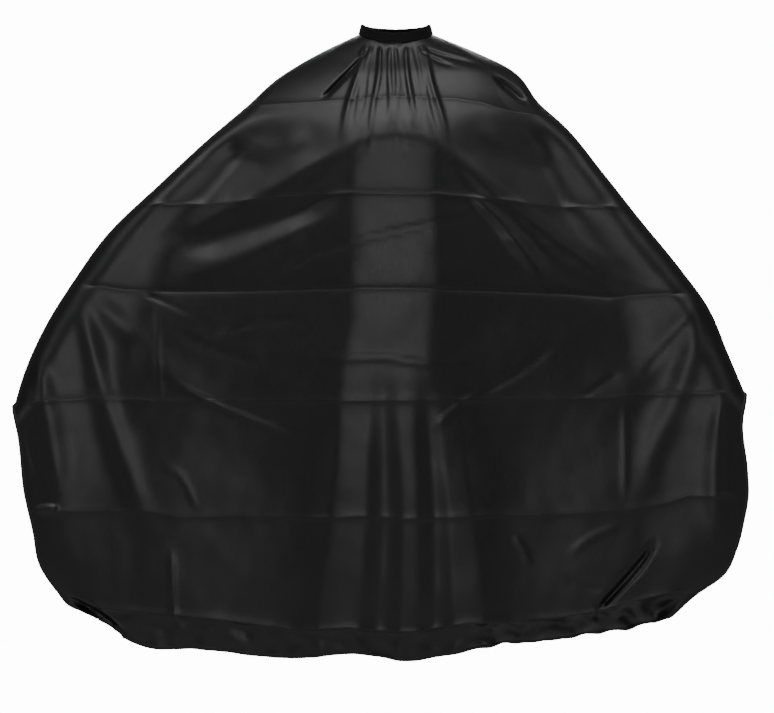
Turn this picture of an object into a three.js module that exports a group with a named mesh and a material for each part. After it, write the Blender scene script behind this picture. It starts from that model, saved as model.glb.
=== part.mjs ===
import * as THREE from 'three';

// A hairdresser's cape as it is worn with both arms held out under it: one sheet of cloth gathered
// into an elastic neckband, open down the back, with a hook-and-loop tab at the nape and a bound edge.
// Millimetres, +Z up. The origin is the centre of the neck opening and the front faces -Y.

const { lerp, clamp, smoothstep } = THREE.MathUtils;

// Overall sizes of the draped cloth
const leftSpan = 677;            // neck centre to the left side corner, across
const rightSpan = 619;           // neck centre to the right side corner, across
const leftDrop = 672;            // neck level to the left side corner
const rightDrop = 651;           // neck level to the right side corner
const frontLength = 1105;        // neck level to the front hem
const backLength = 715;          // neck level to the back hem
const clothThickness = 1.2;
const armRadius = 42;            // half the roll of the cloth over each arm
const ridgeForward = 60;         // how far the side corners sit in front of the neck
const chestDepth = 166;          // front of the cloth at the chest, ahead of the neck centre
const hemDepth = 136;            // the same at the front hem
const backDepth = 116;           // back of the cloth at the shoulder blades
const lapWidth = 105;            // how far each back half crosses the centre line at its hem
const lapGap = 7;                // air between the two back halves where they cross
const cornerSag = 42;            // the back hem hangs this much below the side corners

// Neckband
const bandHalfWidth = 61;        // inner face, at mid height
const bandHalfDepth = 62;
const bandHeight = 18;
const bandLean = 2.5;            // top edge inwards, bottom edge outwards
const frontDip = 25;             // the band sits this much lower at the throat than at the sides
const bandLevel = 3;             // mid height of the band at the sides and nape
const tapeThickness = 1;         // lining and outer tape
const elasticThickness = 1.5;
const elasticInset = 1.5;        // elastic is this much narrower than the tapes, top and bottom
const endGap = 6;                // between the two ends of the band at the nape

// Closure
const tabLength = 58;
const tabFabric = 0.8;
const hookThickness = 1;
const hookInset = 3;
const loopLength = 84;
const anchorLength = 14;
const loopInset = 1;             // loop strip starts this far from the band's end
const rootOverlap = 2;           // the tab reaches this far past the band's left end

// Edge binding and working clearances
const bindingWidth = 3.5;
const bindingThickness = 1.6;
const bindingGap = clothThickness / 2 + 0.35;     // clears the cloth where its edge curves out of plane
const seatGap = 0.3;             // between pieces that are sewn or pressed together
const ridgeGap = (clothThickness + seatGap) / 2;  // each cloth panel keeps this to the ridge line

// Shape of the ridges over the arms and of the free edges, as shares of span and drop
const leftRidge = [
  [0, 0], [0.109, 0.048], [0.228, 0.113], [0.334, 0.2], [0.431, 0.276], [0.584, 0.408],
  [0.731, 0.539], [0.832, 0.668], [0.917, 0.797], [0.977, 0.926], [1, 1],
];
const rightRidge = [
  [0, 0], [0.142, 0.051], [0.234, 0.088], [0.357, 0.203], [0.422, 0.253], [0.551, 0.388],
  [0.672, 0.522], [0.798, 0.657], [0.886, 0.763], [0.948, 0.89], [1, 1],
];
const leftSide = [
  [1, 0], [0.984, 0.079], [0.96, 0.37], [0.939, 0.517], [0.919, 0.663], [0.877, 0.76],
  [0.839, 0.824], [0.774, 0.871], [0.684, 0.961],
];
const rightSide = [
  [1, 0], [0.982, 0.09], [0.994, 0.306], [0.997, 0.392], [0.985, 0.496], [0.963, 0.612],
  [0.926, 0.709], [0.847, 0.786], [0.782, 0.866],
];
// Free front hem: share of the span on that side, and how far it lifts above frontLength, as a share
// of the height of the free side edge
const hemLine = [
  [-0.507, 0.016], [-0.248, -0.014], [-0.121, 0.007], [0.048, -0.022],
  [0.139, -0.002], [0.271, 0.029], [0.418, 0.037], [0.549, 0.062], [0.716, 0.099],
];
// Back hem of one half, from the slit outwards: share of the span (laps are negative), share of backLength
const backLine = [[-1, 0.66], [-0.55, 1], [0.2, 1.09], [1, 1.03]];

// How far the cloth stands off the neck centre at each drop below it, down the middle of front and back
const frontProfile = [
  [0, 52], [60, 86], [120, 120], [205, chestDepth], [330, chestDepth + 5], [660, chestDepth + 5],
  [860, chestDepth], [1040, lerp(chestDepth, hemDepth, 0.6)], [frontLength, hemDepth],
];
const backProfile = [[0, 55], [60, 84], [160, backDepth], [320, backDepth + 6], [900, backDepth]];

// Number of steps along each piece
const frontSteps = { across: 34, along: 26 };
const backSteps = { across: 22, along: 14 };
const bandSteps = 48;
const tabSteps = 12;
const anchorSteps = 4;

const polyester = new THREE.MeshStandardMaterial({ color: 0x1b1b1d, roughness: 0.5, metalness: 0 });
const tape = new THREE.MeshStandardMaterial({ color: 0x070707, roughness: 0.9, metalness: 0 });
const rubberCore = new THREE.MeshStandardMaterial({ color: 0x24201c, roughness: 0.8, metalness: 0 });
const hookPlastic = new THREE.MeshStandardMaterial({ color: 0x101010, roughness: 0.7, metalness: 0 });

const cape = new THREE.Group();

function addPiece(name, geometry, material) {
  const mesh = new THREE.Mesh(geometry, material.clone());
  mesh.name = name;
  cape.add(mesh);
}

// ---- solids from grids of points ----

// A closed sheet of even thickness about the surface pointAt(u, v), both from 0 to 1.
function sheetGeometry(pointAt, across, along, thickness) {
  const points = [];
  for (let j = 0; j <= along; j += 1) {
    for (let i = 0; i <= across; i += 1) points.push(pointAt(i / across, j / along));
  }
  const at = (i, j) => points[clamp(j, 0, along) * (across + 1) + clamp(i, 0, across)];
  const count = points.length;
  const positions = new Float32Array(count * 6);
  for (let j = 0; j <= along; j += 1) {
    for (let i = 0; i <= across; i += 1) {
      const du = at(i + 1, j).clone().sub(at(i - 1, j));
      const dv = at(i, j + 1).clone().sub(at(i, j - 1));
      const normal = du.cross(dv).normalize().multiplyScalar(thickness / 2);
      const index = j * (across + 1) + i;
      points[index].clone().add(normal).toArray(positions, index * 3);
      points[index].clone().sub(normal).toArray(positions, (count + index) * 3);
    }
  }
  const triangles = [];
  for (let j = 0; j < along; j += 1) {
    for (let i = 0; i < across; i += 1) {
      const a = j * (across + 1) + i;
      const b = a + 1;
      const c = a + across + 1;
      const d = c + 1;
      triangles.push(a, b, c, b, d, c);
      triangles.push(count + a, count + c, count + b, count + b, count + c, count + d);
    }
  }
  for (const [from, to] of rimEdges(across, along)) {
    triangles.push(from, count + from, to, to, count + from, count + to);
  }
  return closedGeometry(positions, triangles);
}

// The grid's outer edges as pairs of vertex numbers, once round.
function rimEdges(across, along) {
  const rim = [];
  const row = across + 1;
  for (let i = 0; i < across; i += 1) rim.push(i);
  for (let j = 0; j < along; j += 1) rim.push(j * row + across);
  for (let i = across; i > 0; i -= 1) rim.push(along * row + i);
  for (let j = along; j > 0; j -= 1) rim.push(j * row);
  return rim.map((from, k) => [from, rim[(k + 1) % rim.length]]);
}

// A bar whose four-cornered section is given at each step along it.
function barGeometry(sections) {
  const positions = new Float32Array(sections.length * 12);
  sections.forEach((corners, k) => corners.forEach((p, c) => p.toArray(positions, (k * 4 + c) * 3)));
  const triangles = [0, 1, 2, 0, 2, 3];
  const last = (sections.length - 1) * 4;
  triangles.push(last, last + 2, last + 1, last, last + 3, last + 2);
  for (let k = 0; k < sections.length - 1; k += 1) {
    for (let c = 0; c < 4; c += 1) {
      const a = k * 4 + c;
      const b = k * 4 + ((c + 1) % 4);
      triangles.push(a, a + 4, b, b, a + 4, b + 4);
    }
  }
  return closedGeometry(positions, triangles);
}

// Faces are turned outwards if the enclosed volume comes out negative.
function closedGeometry(positions, triangles) {
  let volume = 0;
  const [a, b, c] = [new THREE.Vector3(), new THREE.Vector3(), new THREE.Vector3()];
  for (let k = 0; k < triangles.length; k += 3) {
    a.fromArray(positions, triangles[k] * 3);
    b.fromArray(positions, triangles[k + 1] * 3);
    c.fromArray(positions, triangles[k + 2] * 3);
    volume += a.dot(b.cross(c));
  }
  const order = volume < 0 ? [0, 2, 1] : [0, 1, 2];
  const turned = [];
  for (let k = 0; k < triangles.length; k += 3) order.forEach((o) => turned.push(triangles[k + o]));
  const geometry = new THREE.BufferGeometry();
  geometry.setAttribute('position', new THREE.BufferAttribute(positions, 3));
  geometry.setIndex(turned);
  geometry.computeVertexNormals();
  return geometry;
}

// ---- the neckband's line ----

// Angle 0 is the throat, +-90 degrees the sides and +-180 the nape; up is from the bottom edge.
function bandPoint(angle, out, up) {
  const lean = bandLean * (1 - (2 * up) / bandHeight);
  const dip = frontDip * Math.max(0, Math.cos(angle)) ** 1.4;
  return new THREE.Vector3(
    (bandHalfWidth + out + lean) * Math.sin(angle),
    -(bandHalfDepth + out + lean) * Math.cos(angle),
    bandLevel - bandHeight / 2 - dip + up,
  );
}

const linerOut = 0;
const elasticOut = linerOut + tapeThickness + seatGap;
const outerOut = elasticOut + elasticThickness + seatGap;
const bandOut = outerOut + tapeThickness;
const clothOut = bandOut / 2;
const endAngle = Math.PI - endGap / 2 / bandHalfWidth;

// ---- the draped cloth ----

const neckSide = bandPoint(Math.PI / 2, clothOut, 0);

// Height z against distance x across, as a curve from a list of shares.
function ridgeCurve(shares, side, span, drop) {
  return new THREE.SplineCurve(shares.map(([across, down]) => new THREE.Vector2(
    side * lerp(neckSide.x, span, across),
    lerp(neckSide.z - seatGap, -drop, down),
  )));
}

function sideCurve(shares, side, span, drop) {
  return new THREE.SplineCurve(shares.map(([across, down]) => new THREE.Vector2(
    side * span * across,
    -lerp(drop, frontLength, down),
  )));
}

const ridges = [
  ridgeCurve(leftRidge, -1, leftSpan, leftDrop),
  ridgeCurve(rightRidge, 1, rightSpan, rightDrop),
];
const freeSides = [
  sideCurve(leftSide, -1, leftSpan, leftDrop),
  sideCurve(rightSide, 1, rightSpan, rightDrop),
];
const hemCurve = new THREE.SplineCurve([
  freeSides[0].points.at(-1),
  ...hemLine.map(([across, lift]) => new THREE.Vector2(
    across * (across < 0 ? leftSpan : rightSpan),
    -lerp(frontLength, across < 0 ? leftDrop : rightDrop, lift),
  )),
  freeSides[1].points.at(-1),
]);

// Smooth curve through [at, value] pairs.
function through(pairs, at) {
  let k = 0;
  while (k < pairs.length - 2 && at > pairs[k + 1][0]) k += 1;
  const slope = (i) => {
    const [before, after] = [pairs[Math.max(i - 1, 0)], pairs[Math.min(i + 1, pairs.length - 1)]];
    return (after[1] - before[1]) / (after[0] - before[0]);
  };
  const span = pairs[k + 1][0] - pairs[k][0];
  const t = clamp((at - pairs[k][0]) / span, 0, 1);
  const [t2, t3] = [t * t, t * t * t];
  return (2 * t3 - 3 * t2 + 1) * pairs[k][1] + (t3 - 2 * t2 + t) * span * slope(k)
    + (3 * t2 - 2 * t3) * pairs[k + 1][1] + (t3 - t2) * span * slope(k + 1);
}

// 0 at the top of a rolled edge, 1 where the cloth hangs clear of it.
function rollShape(away, radius) {
  const left = 1 - clamp(away / radius, 0, 1);
  return Math.sqrt(1 - left * left);
}

const cornerRow = 16;            // row of the front's grid that meets the side corners
const cornerShare = cornerRow / frontSteps.along;
const ridgeSlope = 0.7;          // distance square to a ridge, for each unit across or down from it
const fullRoll = 0.4;            // share of a ridge where its roll has grown to armRadius
const edgeFallBack = 0.02;       // the free side edges drift back this much for each unit down
const frontRoundness = 2.2;      // power of the curve across the front
const backRoundness = 2;
const neckSettle = 0.14;         // share of the front's length where it leaves the line of the neckband

function outlineAt(side, v) {
  if (v < cornerShare) return ridges[side].getPointAt(v / cornerShare);
  return freeSides[side].getPointAt((v - cornerShare) / (1 - cornerShare));
}

// Front panel: u runs left to right, v from the neckband or ridge down to the hem.
function frontPoint(u, v) {
  const neck = bandPoint((u - 0.5) * Math.PI, clothOut, -seatGap - clothThickness / 2);
  const hem = hemCurve.getPointAt(u);
  const [left, right] = [outlineAt(0, v), outlineAt(1, v)];
  const ends = [outlineAt(0, 0), outlineAt(1, 0), hemCurve.getPoint(0), hemCurve.getPoint(1)];
  const across = (top, bottom, l, r, c) => (1 - v) * top + v * bottom + (1 - u) * l + u * r
    - (1 - v) * ((1 - u) * c[0] + u * c[1]) - v * ((1 - u) * c[2] + u * c[3]);
  const x = across(neck.x, hem.x, left.x, right.x, ends.map((p) => p.x));
  const z = across(neck.z, hem.y, left.y, right.y, ends.map((p) => p.y));
  const s = Math.abs(2 * u - 1);
  const edge = u < 0.5 ? left : right;
  const drop = u < 0.5 ? leftDrop : rightDrop;
  const ridgeShare = Math.min(v / cornerShare, 1);
  const radius = armRadius * smoothstep(ridgeShare, 0, fullRoll) + clothThickness;
  const below = Math.max(0, -edge.y - drop);
  const away = ridgeSlope * Math.abs(edge.x) * (1 - s) + below;
  const edgeDepth = ridgeForward * ridgeShare + radius - edgeFallBack * below;
  const middle = through(frontProfile, -z);
  const hang = edgeDepth + (middle - edgeDepth) * (1 - s ** frontRoundness)
    - radius * (1 - rollShape(away, radius));
  const settle = smoothstep(v, 0, neckSettle * (1 - s ** 4) + 1e-6);
  const depth = lerp(-neck.y, hang, settle);
  return new THREE.Vector3(x, -depth - ridgeGap, z);
}

const neckShare = 0.34;          // share of a back half's top edge that lies on the neckband
const napeFall = 90;             // drop over which a back half leaves the line of the neckband
const shoulderEase = 30;         // widens the roll of the back next to the neck
const lapZone = [50, 190];       // across, the two halves part between these distances from the centre
const lapOpens = 10;             // drop over which the halves part below the band
const hemFlare = 1.03;           // the back hem dips this much next to the fan of folds

// One back half: a runs from the slit out to the side corner, b from the top edge down to the hem.
function backPoint(side, a, b) {
  const sign = side === 0 ? -1 : 1;
  const span = side === 0 ? leftSpan : rightSpan;
  const drop = side === 0 ? leftDrop : rightDrop;
  const share = clamp((a - neckShare) / (1 - neckShare), 0, 1);
  const ridge = ridges[side].getPointAt(share);
  const angle = lerp(endAngle, Math.PI / 2, Math.min(a / neckShare, 1));
  const neck = bandPoint(sign * angle, clothOut, -seatGap - clothThickness / 2);
  const onNeck = a < neckShare;
  const topX = onNeck ? neck.x : ridge.x;
  const topZ = onNeck ? neck.z : ridge.y;
  const topY = onNeck ? neck.y : -ridgeForward * share;
  const fan = through(backLine, lerp(-1, 1, Math.min(a / neckShare, 1)));
  const bottomX = onNeck ? sign * lerp(-lapWidth, neckSide.x, a / neckShare) : ridge.x;
  const hemLevel = lerp(backLength, drop + cornerSag, smoothstep(share, 0.5, 1));
  const bottomZ = onNeck ? -backLength * fan : -hemLevel * lerp(hemFlare, 1, smoothstep(share, 0, 0.3));
  const x = lerp(topX, bottomX, b);
  const z = lerp(topZ, bottomZ, b);
  const fallen = topZ - z;
  const s = clamp(Math.abs(x) / span, 0, 1);
  const radius = armRadius * smoothstep(share, 0, fullRoll) + clothThickness;
  const edgeDepth = radius - ridgeForward * s;
  const hang = edgeDepth + (through(backProfile, -z) - edgeDepth) * (1 - s ** backRoundness);
  const settle = onNeck
    ? smoothstep(fallen, 0, napeFall)
    : rollShape(ridgeSlope * fallen, radius + shoulderEase * (1 - share));
  const lap = (side === 0 ? 0.5 : -0.5) * (lapGap + clothThickness)
    * (1 - smoothstep(sign * x, ...lapZone)) * clamp(fallen / lapOpens, 0, 1);
  return new THREE.Vector3(x, lerp(topY, hang, settle) + lap + ridgeGap, z);
}

addPiece(
  'cloth_front',
  sheetGeometry(frontPoint, frontSteps.across, frontSteps.along, clothThickness),
  polyester,
);
['left', 'right'].forEach((name, side) => addPiece(
  `cloth_back_${name}`,
  sheetGeometry((a, b) => backPoint(side, a, b), backSteps.across, backSteps.along, clothThickness),
  polyester,
));

// ---- edge binding ----

// A bar along a free edge of a sheet, just outside it, through the given places in the sheet's grid.
function bindingGeometry(pointAt, places) {
  const points = places.map(([u, v]) => pointAt(u, v));
  const sections = points.map((point, k) => {
    const first = Math.max(k - 1, 0);
    const last = Math.min(k + 1, points.length - 1);
    const incoming = (k > 0 ? point : points[1]).clone().sub(points[first]).normalize();
    const outgoing = points[last].clone().sub(k < last ? point : points[first]).normalize();
    const along = incoming.clone().add(outgoing).normalize();
    const mitre = 1 / along.dot(incoming);
    const [u, v] = places[k];
    const inward = pointAt(lerp(u, 0.5, 0.01), lerp(v, 0.5, 0.01)).sub(point).normalize();
    const normal = along.clone().cross(inward).normalize();
    const outward = along.clone().cross(normal).normalize();
    if (outward.dot(inward) > 0) outward.negate();
    const near = point.clone().addScaledVector(outward, bindingGap * mitre);
    const far = point.clone().addScaledVector(outward, (bindingGap + bindingWidth) * mitre);
    const half = normal.multiplyScalar(bindingThickness / 2);
    return [near.clone().add(half), far.clone().add(half), far.clone().sub(half), near.clone().sub(half)];
  });
  return barGeometry(sections);
}

const counted = (from, to) => Array.from({ length: to - from + 1 }, (_, k) => from + k);
const frontRows = counted(cornerRow, frontSteps.along).map((row) => row / frontSteps.along);
const frontColumns = counted(1, frontSteps.across - 1).map((column) => column / frontSteps.across);
addPiece('hem_front', bindingGeometry(frontPoint, [
  ...frontRows.map((v) => [0, v]),
  ...frontColumns.map((u) => [u, 1]),
  ...frontRows.toReversed().map((v) => [1, v]),
]), tape);

const backRows = counted(1, backSteps.along).map((row) => row / backSteps.along);
const backColumns = counted(0, backSteps.across - 1).map((column) => column / backSteps.across);
['left', 'right'].forEach((name, side) => {
  const pointAt = (a, b) => backPoint(side, a, b);
  addPiece(`hem_back_${name}`, bindingGeometry(pointAt, [
    ...backRows.map((b) => [1, b]),
    ...backColumns.toReversed().map((a) => [a, 1]),
  ]), tape);
  addPiece(`hem_slit_${name}`, bindingGeometry(pointAt, backRows.map((b) => [0, b])), tape);
});

// ---- neckband: lining, elastic and outer tape, one behind the other ----

function bandGeometry(from, to, out, thickness, bottom, top, steps) {
  const sections = [];
  for (let k = 0; k <= steps; k += 1) {
    const angle = lerp(from, to, k / steps);
    sections.push([
      bandPoint(angle, out, bottom),
      bandPoint(angle, out + thickness, bottom),
      bandPoint(angle, out + thickness, top),
      bandPoint(angle, out, top),
    ]);
  }
  return barGeometry(sections);
}

const elasticTop = bandHeight - elasticInset;
addPiece('neckband_lining',
  bandGeometry(-endAngle, endAngle, linerOut, tapeThickness, 0, bandHeight, bandSteps), tape);
addPiece('neckband_elastic', bandGeometry(
  -endAngle, endAngle, elasticOut, elasticThickness, elasticInset, elasticTop, bandSteps), rubberCore);
addPiece('neckband_outer',
  bandGeometry(-endAngle, endAngle, outerOut, tapeThickness, 0, bandHeight, bandSteps), tape);

// ---- closure: the tab is sewn to the left end and laps over the right end ----

const loopOut = bandOut + seatGap;
const hookOut = loopOut + hookThickness + seatGap;
const tabLiningOut = hookOut + hookThickness + seatGap;
const tabOuterOut = tabLiningOut + tabFabric + seatGap;
const tabRadius = bandHalfWidth + tabOuterOut;
const turn = (length) => length / tabRadius;
const tabRoot = endAngle + turn(endGap + rootOverlap);  // where the tab leaves its anchor
const loopStart = endAngle - turn(loopLength);
const hookFrom = endAngle - turn(tabLength - hookInset);
const tabTip = endAngle - turn(tabLength);

const loopEnd = endAngle - turn(loopInset);
const hookTo = endAngle - turn(hookInset);
addPiece('loop_strip', bandGeometry(
  loopStart, loopEnd, loopOut, hookThickness, elasticInset, elasticTop, tabSteps), hookPlastic);
addPiece('hook_strip', bandGeometry(
  hookFrom, hookTo, hookOut, hookThickness, hookInset, bandHeight - hookInset, tabSteps), hookPlastic);
addPiece('tab_lining', bandGeometry(
  tabTip, tabRoot, tabLiningOut, tabFabric, 0, bandHeight, tabSteps), tape);
addPiece('tab_outer', bandGeometry(
  tabTip, tabRoot, tabOuterOut, tabFabric, 0, bandHeight, tabSteps), tape);
addPiece('tab_anchor', bandGeometry(
  tabRoot + turn(seatGap), tabRoot + turn(anchorLength), loopOut, tabOuterOut + tabFabric - loopOut,
  0, bandHeight, anchorSteps), tape);

export default cape;
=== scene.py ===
import math
import bpy
import bmesh
import numpy as np
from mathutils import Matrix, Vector


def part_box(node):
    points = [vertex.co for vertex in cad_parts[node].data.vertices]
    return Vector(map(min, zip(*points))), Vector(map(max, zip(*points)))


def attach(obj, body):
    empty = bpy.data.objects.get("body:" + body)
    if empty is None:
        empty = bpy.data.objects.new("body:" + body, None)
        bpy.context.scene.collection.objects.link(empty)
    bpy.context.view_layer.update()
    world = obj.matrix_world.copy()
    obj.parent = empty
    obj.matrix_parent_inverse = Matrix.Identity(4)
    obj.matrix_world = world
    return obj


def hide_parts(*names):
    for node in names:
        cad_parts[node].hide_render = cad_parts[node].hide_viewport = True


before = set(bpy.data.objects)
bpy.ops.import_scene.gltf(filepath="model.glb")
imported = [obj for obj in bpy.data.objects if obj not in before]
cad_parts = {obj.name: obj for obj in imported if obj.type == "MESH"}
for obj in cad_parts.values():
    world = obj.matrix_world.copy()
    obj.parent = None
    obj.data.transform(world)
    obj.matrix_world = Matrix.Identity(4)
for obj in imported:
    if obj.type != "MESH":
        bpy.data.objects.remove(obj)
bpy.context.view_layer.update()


def smooth(t, low, high):
    q = np.clip((t - low) / (high - low), 0, 1)
    return q * q * (3 - 2 * q)


def through(pairs, at):
    # smooth curve through (at, value) pairs that rise in their first number
    xs, ys = np.array(pairs, float).T
    slopes = np.gradient(ys, xs)
    k = np.clip(np.searchsorted(xs, at) - 1, 0, len(xs) - 2)
    span = xs[k + 1] - xs[k]
    t = np.clip((at - xs[k]) / span, 0, 1)
    return ((2 * t**3 - 3 * t**2 + 1) * ys[k] + (t**3 - 2 * t**2 + t) * span * slopes[k]
            + (3 * t**2 - 2 * t**3) * ys[k + 1] + (t**3 - t**2) * span * slopes[k + 1])


def softened(distance, soft):
    # the part above zero, with its corner rounded
    return (distance + np.sqrt(distance**2 + soft**2)) / 2


def meshObject(name, verts, faces):
    mesh = bpy.data.meshes.new(name)
    mesh.from_pydata([tuple(v) for v in verts], [], [tuple(f) for f in faces])
    mesh.update()
    obj = bpy.data.objects.new(name, mesh)
    bpy.context.collection.objects.link(obj)
    for poly in mesh.polygons:
        poly.use_smooth = True
    return obj


# how the cape is cut and how it hangs, in metres
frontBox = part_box("cloth_front")
cape = dict(
    cut=(1.40, 1.60),            # cloth before it was gathered and hung
    leftSpan=-frontBox[0][0],
    rightSpan=frontBox[1][0],
    leftDrop=0.672,
    rightDrop=0.651,
    frontLength=1.105,
    backLength=0.715,
    armRadius=0.042,
    ridgeForward=0.060,
    lap=0.105,
    lapGap=0.008,
    neckSide=0.0655,             # where the ridge over each arm leaves the neckband
    neckDrop=0.0065,
)
band = dict(
    halfWidth=0.061,
    halfDepth=0.062,
    height=0.018,
    lean=0.0025,
    dip=0.025,
    level=0.003,
    thickness=0.0041,
    tuck=0.0008,                 # cloth goes this far up between the tapes
)
# the ridge over each arm, from the neckband out to the corner: shares of the span and of the drop
leftRidge = [(0, 0), (.109, .048), (.228, .113), (.334, .2), (.431, .276), (.584, .408), (.731, .539),
             (.832, .668), (.917, .797), (.977, .926), (1, 1)]
rightRidge = [(0, 0), (.142, .051), (.234, .088), (.357, .203), (.422, .253), (.551, .388), (.672, .522),
              (.798, .657), (.886, .763), (.948, .89), (1, 1)]
# the front's free side below each corner: shares of the span and of the height left below the corner
leftSide = [(1, 0), (.984, .079), (.96, .37), (.939, .517), (.919, .663), (.877, .76), (.839, .824),
            (.774, .871)]
rightSide = [(1, 0), (.982, .09), (.994, .306), (.997, .392), (.985, .496), (.963, .612), (.926, .709),
             (.847, .786), (.782, .866)]
# the front hem: share of the span, and how far it lifts above the cape's length
hemLine = [(-.774, .056), (-.684, .017), (-.507, .007), (-.248, -.006), (-.121, .003), (.048, -.010),
           (.139, -.001), (.271, .013), (.418, .017), (.549, .028), (.716, .045), (.782, .061)]


def bandPoint(angle, out, up):
    lean = band["lean"] * (1 - 2 * up / band["height"])
    dip = band["dip"] * np.maximum(0, np.cos(angle)) ** 1.4
    return np.stack([
        (band["halfWidth"] + out + lean) * np.sin(angle),
        -(band["halfDepth"] + out + lean) * np.cos(angle),
        band["level"] - band["height"] / 2 - dip + up + 0 * angle,
    ], axis=-1)


def rimAcross(z, ridge, side, span, drop):
    # half width of the front at height z: the arm's ridge above the corner, the cloth's own edge below
    neckSide, neckDrop = cape["neckSide"], cape["neckDrop"]
    r = np.array(ridge)
    ridgePairs = list(zip(neckDrop + r[:, 1] * (drop - neckDrop), neckSide + r[:, 0] * (span - neckSide)))
    s = np.array(side)
    sidePairs = list(zip(drop + s[:, 1] * (cape["frontLength"] - drop), span * s[:, 0]))
    return np.where(-z < drop, through(ridgePairs, -z), through(sidePairs, -z))


def rimLeft(z):
    return -rimAcross(z, leftRidge, leftSide, cape["leftSpan"], cape["leftDrop"])


def rimRight(z):
    return rimAcross(z, rightRidge, rightSide, cape["rightSpan"], cape["rightDrop"])


# pressed fold lines that run across, from the neck down: (x, z) along each, height and reach of its crease
foldLines = [
    dict(line=[(-.269, -.139), (-.142, -.140), (0, -.134), (.105, -.136), (.155, -.142), (.205, -.155),
               (.262, -.160)], height=.0022, reach=.006),
    dict(line=[(-.468, -.318), (-.340, -.319), (-.206, -.311), (-.077, -.305), (.066, -.307), (.138, -.312),
               (.200, -.316), (.295, -.324), (.418, -.322)], height=.0026, reach=.006),
    dict(line=[(-.577, -.455), (-.480, -.470), (-.382, -.473), (-.260, -.473), (-.138, -.470), (.007, -.470),
               (.157, -.473), (.305, -.478), (.372, -.483), (.457, -.478), (.540, -.474)],
         height=-.0028, reach=.006),
    dict(line=[(-.677, -.672), (-.654, -.669), (-.533, -.661), (-.422, -.667), (-.270, -.665), (.058, -.663),
               (.248, -.663), (.337, -.662), (.469, -.654), (.619, -.651)], height=.0022, reach=.006),
    dict(line=[(-.645, -.860), (-.436, -.858), (-.380, -.869), (-.272, -.866), (-.141, -.868), (-.061, -.863),
               (.019, -.868), (.131, -.865), (.251, -.864), (.404, -.858), (.469, -.846), (.513, -.832),
               (.616, -.833)], height=.0022, reach=.006),
    dict(line=[(-.583, -1.015), (-.510, -1.030), (-.402, -1.039), (-.321, -1.046), (-.200, -1.061),
               (-.182, -1.065), (-.086, -1.058), (-.033, -1.065), (.038, -1.066), (.123, -1.051),
               (.179, -1.051), (.287, -1.044),
               (.343, -1.036), (.410, -1.018), (.495, -1.000), (.530, -1.003)], height=.004, reach=.008),
]
grid = dict(columns=260, rowsBetween=[42, 36, 32, 38, 38, 38, 16], gatherToFold=0.5)

# how far the cloth stands in front of the neck centre, down the middle
middleDepth = [(.0, .050), (.035, .068), (.060, .084), (.120, .118), (.196, .160), (.212, .166), (.240, .168),
               (.475, .172), (.665, .173), (.860, .170), (1.040, .158), (1.120, .145)]
# the line across the chest and down over the forearms where the cloth stops sloping and hangs
breakDrop = .206
breakLine = [(-.60, -.455), (-.43, -.375), (-.26, -.300), (-.10, -.222), (-.055, -breakDrop),
             (.055, -breakDrop), (.10, -.225), (.26, -.330), (.43, -.440), (.60, -.520)]
# the flat panel down the middle, and how the cloth falls back on both sides of it
frontPanel = dict(
    middle=-.003,
    halfWidth=.074,
    soft=.013,
    fall=.052,
    fallReach=.15,
    fallFrom=(.15, .24),
    fallFades=(.45, 1.15),
    fallLost=.75,
    leanFrom=.475,
    lean=.13,
    leanDepth=.2,
)


def frontDepth(x, z, s, edgeX, edgeZ, drop):
    # s is 0 down the middle and 1 at the rim
    ridgeShare = np.clip((-edgeZ - cape["neckDrop"]) / (drop - cape["neckDrop"]), 0, 1)
    radius = cape["armRadius"] * smooth(ridgeShare, 0, .4) + .001
    below = np.maximum(0, -edgeZ - drop)
    away = .7 * np.abs(edgeX) * (1 - s) + below
    edge = cape["ridgeForward"] * ridgeShare + radius - .02 * below
    roll = 1 - np.sqrt(1 - (1 - np.clip(away / radius, 0, 1)) ** 2)
    breakZ = -through(breakLine, x)
    sloped = np.minimum(-z, breakZ) * breakDrop / breakZ + np.maximum(0, -z - breakZ)
    hang = edge + (through(middleDepth, sloped) - edge) * (1 - s ** 2.2) - radius * roll
    leaning = np.clip(-z - frontPanel["leanFrom"], 0, frontPanel["leanDepth"])
    middle = frontPanel["middle"] - frontPanel["lean"] * leaning
    beyond = softened(np.abs(x - middle) - frontPanel["halfWidth"], frontPanel["soft"])
    fall = frontPanel["fall"] * (1 - np.exp(-beyond / frontPanel["fallReach"]))
    left = 1 - frontPanel["fallLost"] * smooth(-z, *frontPanel["fallFades"])
    return hang - fall * smooth(-z, *frontPanel["fallFrom"]) * left * (1 - smooth(s, .7, 1))


def softCurve(points, steps=28):
    # a smooth curve through the given points
    p = np.array(points, float)
    p = np.concatenate([2 * p[:1] - p[1:2], p, 2 * p[-1:] - p[-2:-1]])
    at = np.linspace(0, len(p) - 3 - 1e-9, steps)
    k = at.astype(int)
    t = (at - k)[:, None]
    a, b, c, d = p[k], p[k + 1], p[k + 2], p[k + 3]
    return .5 * (2 * b + (c - a) * t + (2 * a - 5 * b + 4 * c - d) * t**2 + (3 * b - a - 3 * c + d) * t**3)


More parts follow.
